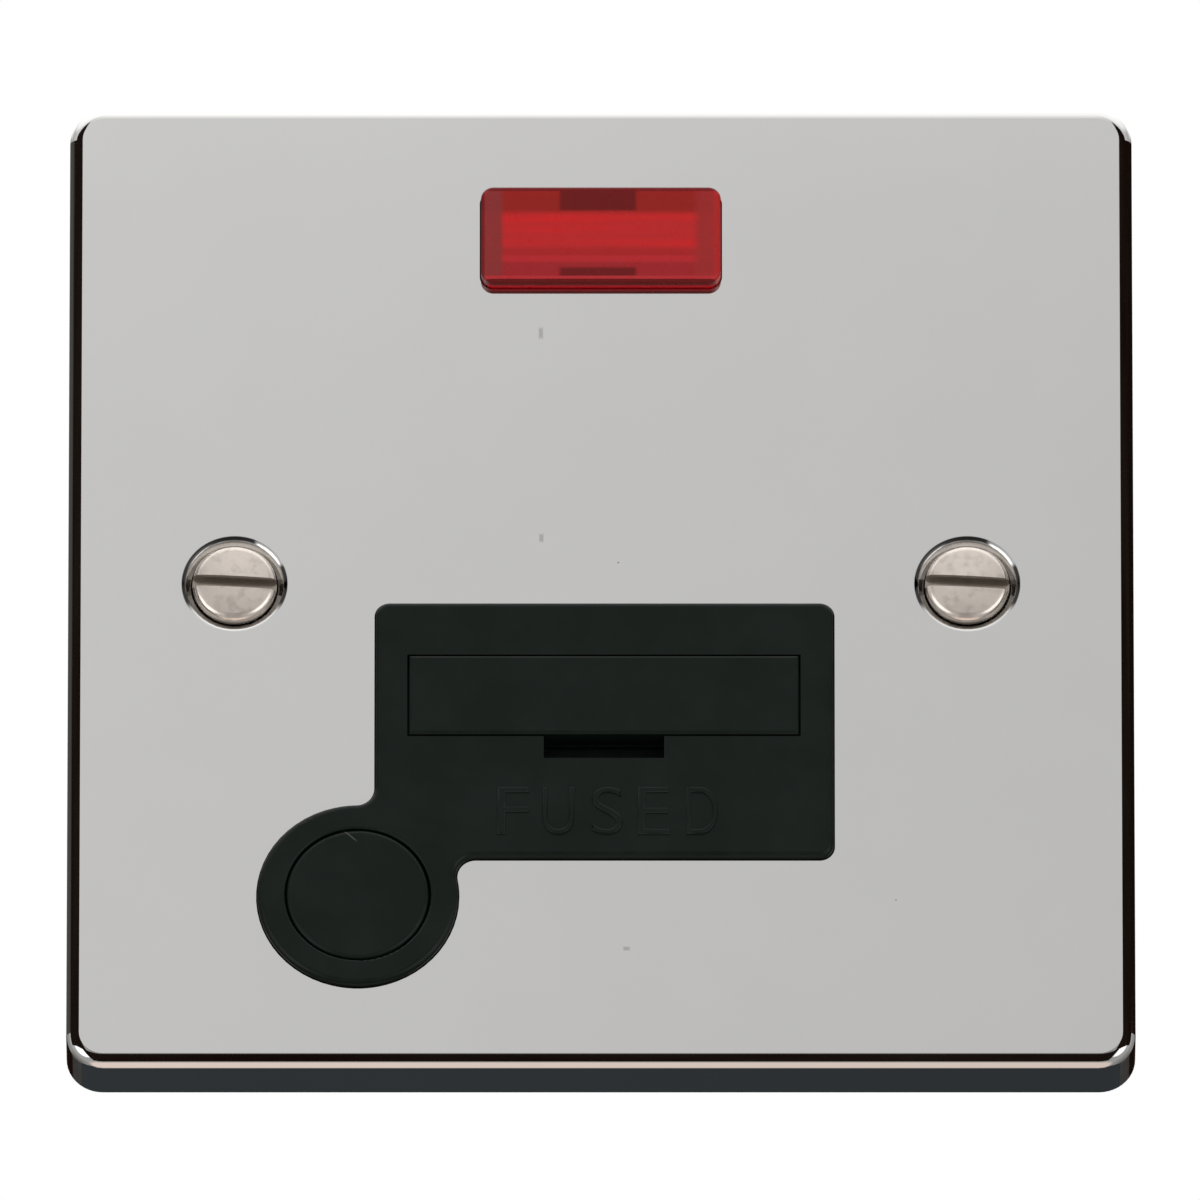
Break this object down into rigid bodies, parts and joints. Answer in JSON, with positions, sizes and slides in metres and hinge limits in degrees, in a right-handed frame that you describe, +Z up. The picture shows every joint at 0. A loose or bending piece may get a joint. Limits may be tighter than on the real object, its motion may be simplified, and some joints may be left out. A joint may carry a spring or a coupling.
{
  "type": "fused spur unit",
  "caption": "One-gang fused connection unit: polished chrome plate, black insert with a pull-out fuse drawer and a flex outlet, red neon lens, terminals behind.",
  "frame": {"origin": "midway between the two fixing screws, on the wall plane where the plate's rim rests", "axes": "+X to the right as seen from the front, +Z up, the front faces -Y"},
  "size_m": [0.0878, 0.0268, 0.0878],
  "materials": {
    "chrome_plate": "polished",
    "black_moulding": "satin",
    "housing_moulding": "satin",
    "holder_moulding": "satin",
    "lens_red": "polished",
    "lamp_glass": "clear",
    "resistor_body": "satin",
    "lead_sleeve": "satin",
    "fuse_ceramic": "glazed",
    "fuse_cap_metal": "polished",
    "tinned_strip": "satin",
    "terminal_brass": "machined",
    "nickel_screw": "polished",
    "steel_screw": "plated"
  },
  "bodies": {
    "housing": {"box_screw_left": "nickel_screw", "box_screw_right": "nickel_screw", "clamp_screw_earth_left": "steel_screw", "clamp_screw_earth_right": "steel_screw", "clamp_screw_load_line": "steel_screw", "clamp_screw_load_neutral": "steel_screw", "clamp_screw_supply_line": "steel_screw", "clamp_screw_supply_neutral": "steel_screw", "cord_clamp_bar": "housing_moulding", "cord_screw_lower": "steel_screw", "cord_screw_upper": "steel_screw", "earth_strap": "tinned_strip", "flex_outlet_plug": "black_moulding", "front_moulding": "black_moulding", "front_plate": "chrome_plate", "fuse_clip_load": "tinned_strip", "fuse_clip_supply": "tinned_strip", "load_busbar": "tinned_strip", "module_screw_low_left": "steel_screw", "module_screw_low_right": "steel_screw", "module_screw_top_left": "steel_screw", "module_screw_top_right": "steel_screw", "neon_holder": "holder_moulding", "neon_lamp": "lamp_glass", "neon_lead_lamp": "lead_sleeve", "neon_lead_line": "lead_sleeve", "neon_lead_neutral": "lead_sleeve", "neon_lens": "lens_red", "neon_resistor": "resistor_body", "neutral_link": "tinned_strip", "rear_housing": "housing_moulding", "supply_busbar": "tinned_strip", "terminal_earth": "terminal_brass", "terminal_load_line": "terminal_brass", "terminal_load_neutral": "terminal_brass", "terminal_supply_line": "terminal_brass", "terminal_supply_neutral": "terminal_brass"},
    "drawer": {"fuse_drawer": "black_moulding", "fuse_body": "fuse_ceramic", "fuse_cap_left": "fuse_cap_metal", "fuse_cap_right": "fuse_cap_metal"}
  },
  "joints": [
    {"name": "drawer_slide", "type": "slide", "parent": "housing", "child": "drawer", "axis": [0, -1, 0], "range_m": [0, 0.012]}
  ]
}
